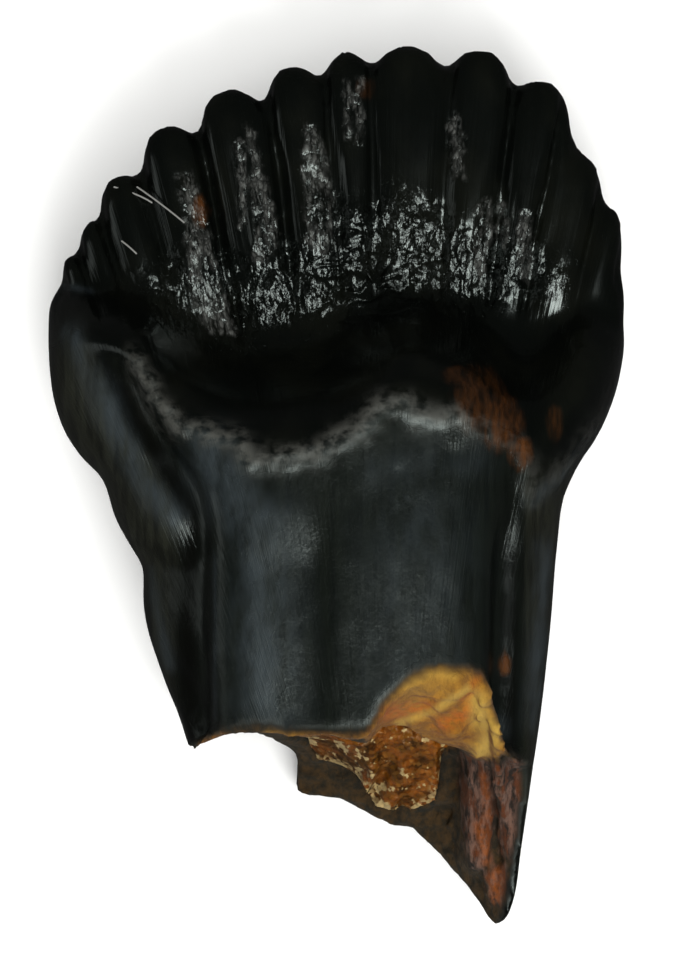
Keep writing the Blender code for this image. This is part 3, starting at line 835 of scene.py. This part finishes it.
def carve_break(co, mask, upward):
    """Lumps on the broken dentine, and splinters that stand along the root at its right."""
    lumps = 0.060 * grain(co, (0.30, 0.28, 0.3), 41) + 0.048 * grain(co, (0.15, 0.13, 0.14), 42)
    lumps += 0.018 * grain(co, (0.07, 0.07, 0.07), 43)
    for x, y, radius, height in LUMPS:
        lumps += height * mound(co, x, y, radius)
    fibres = 0.030 * grain(co, (0.12, 0.7, 0.4), 44) + 0.036 * grain(co, (0.10, 0.22, 0.2), 45)
    proud = sum(inside(co, outline, 0.06) for outline in SPLINTERS)
    right = ease(1.60, 1.75, co[:, 0]) * (1 - ease(-3.85, -3.7, co[:, 1]))
    height = lumps * (1 - right) + (fibres + 0.10 * proud - 0.05) * right
    from_side = ease(0.10, 0.35, smooth(RIGHT_EDGE, co[:, 1]) - co[:, 0])
    return (height * (0.3 + 0.7 * upward) - hollow_walls(co) * (1 - upward)) * mask * from_side


def spread(obj, value, times):
    """Blurs a value over the mesh by averaging along edges."""
    edge = np.empty(len(obj.data.edges) * 2, int)
    obj.data.edges.foreach_get("vertices", edge)
    a, b = edge.reshape(-1, 2).T
    count = np.bincount(a, minlength=len(value)) + np.bincount(b, minlength=len(value))
    for _ in range(times):
        total = np.bincount(a, value[b], len(value)) + np.bincount(b, value[a], len(value))
        value = 0.5 * value + 0.5 * total / count
    return value


def carve(form):
    """Presses each layer of relief into the skin, from the broad ones to the fine ones."""
    bare = broken(places(form))
    whole = 1 - spread(form, np.maximum(bare, right_skin(places(form))), 4)
    bare = spread(form, bare, 2)
    for layer in (carve_root, carve_fan):
        co, normal = places(form), normals(form)
        height = layer(co) * in_front(normal) * ease(1.2, 2.6, co[:, 2]) * whole
        move_to(form, co + normal * height[:, None])
    co, normal = places(form), normals(form)
    front = in_front(normal) * ease(1.2, 2.2, co[:, 2])
    height = wrinkle_zone(co) * wrinkles(co) * front + (carve_edge(co) + carve_spots(co)) * front * (1 - bare)
    height += carve_break(co, bare, ease(0.2, 0.6, normal[:, 2]))
    height += 0.012 * grain(co, (0.3, 1.2, 0.3), 51) * (1 - in_front(normal)) * (1 - bare)
    co = co + normal * height[:, None]
    crumbly = (bare * inside(co, CREAM_OUTLINE, 0.1))[:, None]
    rounded = np.stack([spread(form, axis, 4) for axis in co.T], 1)
    move_to(form, co * (1 - crumbly) + rounded * crumbly)
    return bare


def store(obj, name, value):
    """Keeps a value per vertex for the material to read."""
    attribute = obj.data.attributes.new(name, "FLOAT", "POINT")
    attribute.data.foreach_set("value", np.clip(value, 0, 1).astype(np.float32))


def store_place(obj, name, value):
    attribute = obj.data.attributes.new(name, "FLOAT_VECTOR", "POINT")
    attribute.data.foreach_set("vector", value.astype(np.float32).ravel())


def blobs(co, rows):
    """The strongest of some ragged ovals at each place."""
    rough = 0.35 * grain(co, (0.14, 0.30, 0.22), 63) + 0.20 * grain(co, (0.08, 0.16, 0.08), 64)
    total = np.zeros(len(co))
    for x, y, half_x, half_y, strength in rows:
        away = ((co[:, 0] - x) / half_x) ** 2 + ((co[:, 1] - y) / half_y) ** 2
        total = np.maximum(total, strength * ease(1.6, 0.2, away + rough))
    return total


def streaks(co, rows):
    """The strongest of some soft lines at each place."""
    total = np.zeros(len(co))
    for path, half_width, strength in rows:
        total = np.maximum(total, strength * np.exp(-(distance_to(co, path) / half_width) ** 2))
    return total


def mark_materials(form, bare):
    """Stores where each finish of the tooth's surface lies."""
    co, normal = places(form), normals(form)
    front = in_front(normal)
    lobe = side_lobe(co)
    past = past_edge(co)
    store(form, "broken", bare)
    store(form, "near_break", 2.5 * spread(form, bare, 2))
    store(form, "satin", satin_sides(co))
    # The bottoms of the long grooves, which the material lays near black as painted shade.
    store(form, "groove", np.maximum.reduce([in_groove(co, row, 1.5) for row in GROOVES]))
    store(form, "enamel", np.maximum(ease(-0.08, 0.08, past), lobe))
    # The lip's mask, on which the material lays a lighter grey, partly as a painted highlight.
    store(form, "edge", enamel_lip(co, past) * front * (1 - 0.6 * ease(1.5, 2.4, co[:, 0])))
    # Painted sheen: the material lays a lighter colour along these streaks; on the break they are paler
    # dentine.
    store(form, "pale", streaks(co, SHEEN_AND_PALE_STREAKS) * front)
    store(form, "orange", streaks(co, ORANGE_STREAKS))
    store(form, "stain", blobs(co, STAINS) * front)
    thin = 0.8 * sum(np.exp(-(distance_to(co, path) / 0.05) ** 2) for path in TAN_EDGES)
    thin *= ease(0.8, 0.2, below_rim(co))
    store(form, "cream", np.maximum(inside(co, CREAM_OUTLINE), thin))
    store(form, "splinter", sum(inside(co, outline, 0.05, 0.07) for outline in SPLINTERS))
    store(form, "wrinkled", wrinkle_zone(co) * front)
    store(form, "bark", bark_zone(co) * front)
    store_place(form, "fan", fan_place(co) * MM)


def linear(code):
    """Linear colour of a hexadecimal sRGB one."""
    channels = [int(code[i:i + 2], 16) / 255 for i in (1, 3, 5)]
    return (*[c / 12.92 if c < 0.04045 else ((c + 0.055) / 1.055) ** 2.4 for c in channels], 1)


def add(tree, kind, settings=None, **inputs):
    """Adds a node with its settings; an input is named, or numbered among the ones in use as _0, _1, ..."""
    node = tree.nodes.new("ShaderNode" + kind)
    for key, value in (settings or {}).items():
        setattr(node, key, value)
    in_use = [socket for socket in node.inputs if socket.enabled]
    for key, value in inputs.items():
        socket = in_use[int(key[1:])] if key.startswith("_") else node.inputs[key.replace("_", " ")]
        if isinstance(value, bpy.types.Node):
            value = next(output for output in value.outputs if output.enabled)
        if isinstance(value, bpy.types.NodeSocket):
            tree.links.new(value, socket)
        else:
            socket.default_value = value
    return node


def new_material(name):
    made = bpy.data.materials.new(name)
    made.use_nodes = True
    made.node_tree.nodes.clear()
    return made, made.node_tree


def patchy(tree, place, sizes, low, high, detail=3.0, roughness=0.55):
    """Random patches from 0 to 1. The sizes are millimetres that one patch takes across, along and up."""
    per_metre = [1 / (size * MM) for size in sizes]
    spots = add(tree, "VectorMath", TIMES, _0=place, _1=per_metre)
    cloud = add(tree, "TexNoise", Vector=spots, Scale=1.0, Detail=detail, Roughness=roughness)
    return add(tree, "MapRange", SOFT_STEP, Value=cloud, From_Min=low, From_Max=high)


def laid_over(tree, colour, zone, patches, code):
    """A colour laid over another in a zone of the mesh, and there only on some patches."""
    amount = add(tree, "Math", TIMES, _0=zone, _1=patches)
    return add(tree, "Mix", COLOURS, _0=amount, _1=colour, _2=linear(code))


def leaning_cells(tree, place, wobble, detail, shift):
    """Small random cells, each leaning its own way: their shaken places, the cells and their lean."""
    shake = add(tree, "TexNoise", Vector=place, Scale=wobble, Detail=detail)
    shaken = add(tree, "VectorMath", TIMES_PLUS, _0=shake.outputs["Color"], _1=shift, _2=place)
    cells = add(tree, "TexVoronoi", Vector=shaken, Scale=1.0)
    off_middle = add(tree, "VectorMath", MINUS, _0=shaken, _1=cells.outputs["Position"])
    lean = add(tree, "VectorMath", MINUS, _0=cells.outputs["Color"], _1=(0.5, 0.5, 0.5))
    lean = add(tree, "VectorMath", {"operation": "DOT_PRODUCT"}, _0=off_middle, _1=lean).outputs["Value"]
    return shaken, cells, lean


def crumpled_plates(tree, ridges):
    """A pattern that follows the ridges: the lean of small plates, and the cracks between them as 0."""
    scaled = add(tree, "VectorMath", TIMES, _0=ridges, _1=[count / MM for count in PLATES_PER_MM])
    shaken, _, tilted = leaning_cells(tree, scaled, 0.9, 3.0, (1.5, 1.5, 0))
    cracks = add(tree, "TexVoronoi", {"feature": "DISTANCE_TO_EDGE"}, Vector=shaken, Scale=1.0, Detail=1.0)
    return tilted, add(tree, "MapRange", SOFT_STEP, Value=cracks, From_Min=0.02, From_Max=0.22)


def worn_surface_colour(tree, place, ridges, zone, cracks):
    """Black enamel, grey on its bark-like strips, and a blue-grey root; both rust-stained in places. The
    strips' grey is partly dust and partly painted sheen, with painted sheen along pale streaks and on the
    satin sides, a painted highlight on the enamel's lip and painted shade in the grooves.
    """
    cloudy = patchy(tree, place, (0.9, 1.4, 0.9), 0.40, 0.70)
    black = add(tree, "Mix", COLOURS, _0=cloudy, _1=linear("#030403"), _2=linear("#080906"))
    streaky = patchy(tree, place, (0.10, 1.3, 0.4), 0.30, 0.72, 4, 0.6)
    root = add(tree, "Mix", COLOURS, _0=streaky, _1=linear("#050705"), _2=linear("#0B0E0A"))
    colour = add(tree, "Mix", COLOURS, _0=zone["enamel"], _1=root, _2=black)

    # Olive-grey on the satin strips beside the grooves: partly the root's own tint, partly painted sheen
    # where these sides catch the light.
    olive = add(tree, "Mix", COLOURS, _0=streaky, _1=linear("#0A0A06"), _2=linear("#1E1F17"))
    colour = add(tree, "Mix", COLOURS, _0=zone["satin"], _1=colour, _2=olive)
    # Painted shade: near black along the bottoms of the long grooves.
    colour = add(tree, "Mix", COLOURS, _0=zone["groove"], _1=colour, _2=linear("#020201"))

    # Grey on the bark-like strips: partly dust, partly painted sheen where the strips catch the light; the
    # cracks between the plates keep the black, as painted shade.
    dust_and_sheen = patchy(tree, place, (0.22, 0.40, 0.3), 0.32, 0.58, 4, 0.6)
    fibres = patchy(tree, ridges, (0.05, 0.26, 9), 0.38, 0.54, 4, 0.65)
    dust_and_sheen = add(tree, "Math", TIMES, _0=dust_and_sheen, _1=fibres)
    faint_cracks = add(tree, "Math", TIMES_PLUS, _0=cracks, _1=0.75, _2=0.25)
    dust_and_sheen = add(tree, "Math", TIMES, _0=dust_and_sheen, _1=faint_cracks)
    colour = laid_over(tree, colour, zone["bark"], dust_and_sheen, "#474845")

    # Painted sheen: lighter blue-grey along the pale streaks, where the lobe, the root and the neck catch the
    # light.
    uneven = patchy(tree, place, (0.30, 0.7, 0.4), 0.20, 0.75, 5, 0.62)
    colour = laid_over(tree, colour, zone["pale"], uneven, "#282E31")
    # Painted highlight: the lip is laid in a lighter mottled grey, partly its own mottling, partly the light
    # along its crest.
    mottled = patchy(tree, place, (0.20, 0.16, 0.2), 0.34, 0.64, 3, 0.6)
    colour = laid_over(tree, colour, zone["edge"], mottled, "#363632")
    rusty = patchy(tree, place, (0.09, 0.45, 0.3), 0.25, 0.75, 4, 0.6)
    return laid_over(tree, colour, zone["stain"], rusty, "#56300F")


def fresh_break_colour(tree, place, zone):
    """Dentine where it broke: cream to orange, mauve-brown splinters, and a grey-brown inside."""
    grains = patchy(tree, place, (0.14, 0.14, 0.14), 0.35, 0.65, 5, 0.65)
    wall = add(tree, "Mix", COLOURS, _0=grains, _1=linear("#171005"), _2=linear("#33220A"))
    creamy = add(tree, "Mix", COLOURS, _0=grains, _1=linear("#5E3608"), _2=linear("#7C5210"))
    fibrous = patchy(tree, place, (0.08, 0.30, 0.3), 0.40, 0.60, 5, 0.65)
    mauve = add(tree, "Mix", COLOURS, _0=fibrous, _1=linear("#1A0D06"), _2=linear("#5C4236"))
    reddish = patchy(tree, place, (0.14, 0.45, 0.3), 0.48, 0.62, 4, 0.6)
    mauve = add(tree, "Mix", COLOURS, _0=reddish, _1=mauve, _2=linear("#4A2206"))
    smeared = patchy(tree, place, (0.12, 0.12, 0.12), 0.25, 0.60, 3, 0.6)
    mauve = laid_over(tree, mauve, zone["orange"], smeared, "#7A3C04")
    creamy = laid_over(tree, creamy, zone["orange"], smeared, "#944800")
    creamy = add(tree, "Mix", COLOURS, _0=zone["pale"], _1=creamy, _2=linear("#A08036"))
    fresh = add(tree, "Mix", COLOURS, _0=zone["splinter"], _1=wall, _2=mauve)
    return add(tree, "Mix", COLOURS, _0=zone["cream"], _1=fresh, _2=creamy)


def fine_relief(tree, place, ridges, zone, tilted, cracks):
    """Relief too fine for the mesh: crumpled plates between cracks, growth lines, and a rough break."""
    crumple = patchy(tree, ridges, (0.07, 0.10, 9), 0.0, 1.0, 2, 0.5)
    relief = add(tree, "Math", TIMES_PLUS, _0=crumple, _1=0.10, _2=tilted)
    relief = add(tree, "Math", TIMES_PLUS, _0=cracks, _1=0.07, _2=relief)
    relief = add(tree, "Math", TIMES, _0=relief, _1=zone["wrinkled"])
    bent = add(tree, "Bump", Height=relief, Distance=PLATE_RELIEF * MM, Strength=1.0)

    lines = patchy(tree, ridges, (0.035, 1.6, 9), 0.0, 1.0, 2, 0.6)
    bent = add(tree, "Bump", Height=lines, Distance=GROWTH_LINE_RELIEF * MM, Strength=1.0, Normal=bent)

    pitted = patchy(tree, place, (0.05, 0.09, 0.05), 0.0, 1.0, 4, 0.7)
    depth = add(tree, "MapRange", Value=zone["enamel"], To_Min=0.35, To_Max=0.1)
    depth = add(tree, "Math", TIMES_PLUS, _0=zone["broken"], _1=3.0, _2=depth)
    pitted = add(tree, "Math", TIMES, _0=pitted, _1=depth)
    return add(tree, "Bump", Height=pitted, Distance=PIT_RELIEF * MM, Strength=1.0, Normal=bent)


def surface_roughness(tree, place, zone, cracks):
    """Enamel has a wet-looking polish, duller on its wrinkles and edge; the root is satin, the break dull."""
    dull = add(tree, "MapRange", Value=zone["enamel"], To_Min=ROOT_ROUGHNESS, To_Max=ENAMEL_ROUGHNESS)
    smeared = patchy(tree, place, (0.6, 0.8, 0.6), 0.3, 0.7)
    dull = add(tree, "Math", TIMES_PLUS, _0=smeared, _1=0.04, _2=dull)
    rubbed = patchy(tree, place, (0.46, 0.36, 0.4), 0.40, 0.58, 4, 0.65)
    plates = add(tree, "Math", TIMES, _0=cracks, _1=rubbed)
    plates = add(tree, "Math", TIMES, _0=plates, _1=zone["wrinkled"])
    dull = add(tree, "Math", TIMES_PLUS, _0=plates, _1=0.18, _2=dull)
    for name, more in DULLER_ZONES:
        dull = add(tree, "Math", TIMES_PLUS, _0=zone[name], _1=more, _2=dull)
    return dull


def fossil_tooth_finish():
    """Black phosphate enamel polished by wear, over a satin blue-grey dentine root with a broken end."""
    made, tree = new_material("fossil tooth")
    place = add(tree, "TexCoord").outputs["Object"]
    zone = {name: add(tree, "Attribute", {"attribute_name": name}).outputs["Fac"] for name in ZONES}
    ridges = add(tree, "Attribute", {"attribute_name": "fan"}).outputs["Vector"]
    tilted, cracks = crumpled_plates(tree, ridges)
    worn = worn_surface_colour(tree, place, ridges, zone, cracks)
    fresh = fresh_break_colour(tree, place, zone)
    colour = add(tree, "Mix", COLOURS, _0=zone["broken"], _1=worn, _2=fresh)
    shader = add(tree, "BsdfPrincipled", Base_Color=colour, IOR=1.55, Specular_Tint=(0.88, 1.0, 0.94, 1),
                 Roughness=surface_roughness(tree, place, zone, cracks),
                 Normal=fine_relief(tree, place, ridges, zone, tilted, cracks))
    add(tree, "OutputMaterial", Surface=shader)
    return made


def calcite_finish():
    """Coarse calcite stained by iron: sugary orange-brown grains, with pale ones thickest along its edge."""
    made, tree = new_material("iron-stained calcite")
    place = add(tree, "TexCoord").outputs["Object"]
    scaled = add(tree, "VectorMath", TIMES, _0=place, _1=[count / MM for count in GRAINS_PER_MM])
    _, grains, facets = leaning_cells(tree, scaled, 0.6, 2.0, (0.6, 0.6, 0.6))
    chance = add(tree, "SeparateColor", Color=grains.outputs["Color"]).outputs[0]
    glow = patchy(tree, place, (0.36, 0.36, 0.9), 0.38, 0.62, 5, 0.65)
    colour = add(tree, "Mix", COLOURS, _0=glow, _1=linear("#2C1601"), _2=linear("#6A3602"))

    sugary = add(tree, "MapRange", Value=chance, From_Min=0.3, To_Max=0.45)
    colour = add(tree, "Mix", COLOURS, _0=sugary, _1=colour, _2=linear("#7A4E10"))

    crust = add(tree, "Attribute", {"attribute_name": "crust"}).outputs["Fac"]
    cluster = patchy(tree, place, (0.20, 0.20, 0.6), 0.52, 0.64, 3, 0.6)
    paler = add(tree, "Math", TIMES_PLUS, _0=chance, _1=0.55, _2=cluster)
    paler = add(tree, "Math", TIMES_PLUS, _0=crust, _1=0.60, _2=paler)
    paler = add(tree, "MapRange", SOFT_STEP, Value=paler, From_Min=0.66, From_Max=1.20)
    colour = add(tree, "Mix", COLOURS, _0=paler, _1=colour, _2=linear("#9A8458"))

    bent = add(tree, "Bump", Height=facets, Distance=GRAIN_RELIEF * MM, Strength=1.0)
    shader = add(tree, "BsdfPrincipled", Base_Color=colour, Roughness=0.50, Normal=bent, IOR=1.5,
                 Specular_Tint=(1.0, 0.86, 0.55, 1))
    add(tree, "OutputMaterial", Surface=shader)
    return made


def calcite_form():
    """The calcite in the cavity, with a crystalline surface where the break bares it."""
    obj = cavity("calcite_form", CALCITE_GAP)
    kept = outline_block("calcite_outline", CALCITE_OUTLINE, BELOW_ALL, ABOVE_ALL)
    apply_modifier(obj, "BOOLEAN", operation="INTERSECT", solver="EXACT", object=kept)
    cutters = [outline_block("lost_root", LOST_ROOT, BELOW_ALL, ABOVE_ALL), front_break()]
    cut(obj, cutters)
    remove([kept] + cutters)
    apply_modifier(obj, "REMESH", mode="VOXEL", voxel_size=CALCITE_VOXEL)
    co, normal = places(obj), normals(obj)
    bare = ease(0.1, 0.5, normal[:, 2])
    lumps = 0.05 * grain(co, (0.30, 0.26, 0.3), 81) + 0.04 * np.abs(grain(co, (0.15, 0.15, 0.15), 82))
    lumps += 0.022 * np.abs(grain(co, (0.08, 0.08, 0.08), 83))
    move_to(obj, co + normal * ((lumps + 0.02) * bare - 0.02)[:, None])
    store(obj, "crust", ease(0.24, 0.02, distance_to(places(obj), CALCITE_OUTLINE[7:])))
    return obj


def fibre(form, points):
    """A lint fibre lying on the crown, as a thin tube through a few places."""
    curve = bpy.data.curves.new("fibre", "CURVE")
    curve.dimensions = "3D"
    curve.bevel_depth = FIBRE_THICKNESS / 2
    curve.bevel_resolution = 2
    curve.use_fill_caps = True
    spline = curve.splines.new("NURBS")
    spline.points.add(len(points) - 1)
    for point, (x, y, lift) in zip(spline.points, points):
        _, under, _, _ = form.ray_cast((x, y, ABOVE_ALL), (0, 0, -1))
        point.co = (x, y, under.z + FIBRE_THICKNESS / 2 + lift, 1)
    spline.use_endpoint_u = True
    spline.order_u = 3
    obj = bpy.data.objects.new("fibre", curve)
    bpy.context.scene.collection.objects.link(obj)
    only(obj)
    bpy.ops.object.convert(target="MESH")
    return bpy.context.active_object


def lint_finish():
    """Pale cotton lint that dust left on the crown."""
    made, tree = new_material("pale lint")
    shader = add(tree, "BsdfPrincipled", Base_Color=linear("#70706C"), Roughness=0.6)
    add(tree, "OutputMaterial", Surface=shader)
    return made


def finished(obj, name, material, nodes=()):
    """Scales a piece from millimetres to metres and gives it to the frame."""
    only(obj)
    move_to(obj, places(obj) * MM)
    obj.name = name
    obj.data.name = name
    obj.data.materials.clear()
    obj.data.materials.append(material)
    obj.data.shade_smooth()
    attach(obj, "root")
    if nodes:
        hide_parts(*nodes)


def floor_and_lights():
    """A white card under the tooth, a soft box above the root's end, and weaker light all round.

    The card and the broad lamp light the tooth but aren't mirrored in it, as through a polariser.
    """
    bpy.ops.mesh.primitive_plane_add(size=CARD_SIZE)
    floor = bpy.context.active_object
    floor.name = "white_card"
    made, tree = new_material("white card")
    shader = add(tree, "BsdfPrincipled", Base_Color=linear("#F2F2F0"), Roughness=0.9)
    add(tree, "OutputMaterial", Surface=shader)
    floor.data.materials.append(made)
    floor.visible_glossy = False
    for name, azimuth, height, distance, width, radiance, mirrored in LAMPS:
        lamp = bpy.data.lights.new(name, "AREA")
        lamp.shape = "SQUARE"
        lamp.size = width
        lamp.energy = radiance * math.pi * width * width
        obj = bpy.data.objects.new(name, lamp)
        a, e = math.radians(azimuth), math.radians(height)
        obj.location = (distance * math.sin(a) * math.cos(e), distance * math.cos(a) * math.cos(e),
                        distance * math.sin(e))
        obj.rotation_euler = (math.pi / 2 - e, 0, math.pi - a)
        obj.visible_glossy = mirrored
        bpy.context.scene.collection.objects.link(obj)
    world = bpy.data.worlds.new("dim room")
    world.use_nodes = True
    background = world.node_tree.nodes["Background"]
    background.inputs["Color"].default_value = (1, 1, 1, 1)
    background.inputs["Strength"].default_value = ROOM_LIGHT
    bpy.context.scene.world = world
    bpy.context.scene.view_settings.view_transform = "Standard"


def camera():
    """A long lens straight above the tooth, as the photograph shows it."""
    data = bpy.data.cameras.new("camera")
    data.lens = LENS
    data.sensor_width = SENSOR
    data.clip_start = 0.001
    obj = bpy.data.objects.new("camera", data)
    x, y = VIEW_MIDDLE
    obj.location = (x * MM, y * MM, (VIEW_LEVEL + VIEW_HEIGHT * LENS / SENSOR) * MM)
    bpy.context.scene.collection.objects.link(obj)
    bpy.context.scene.camera = obj


form = tooth_form()
bare = carve(form)
mark_materials(form, bare)
lint = lint_finish()
for number, points in enumerate(FIBRES, 1):
    finished(fibre(form, points), f"lint_fibre_{number}", lint)
finished(form, "tooth_skin", fossil_tooth_finish(), ["tooth"])
filling = calcite_form()
finished(filling, "calcite_crystals", calcite_finish(), ["calcite_fill"])
floor_and_lights()
camera()
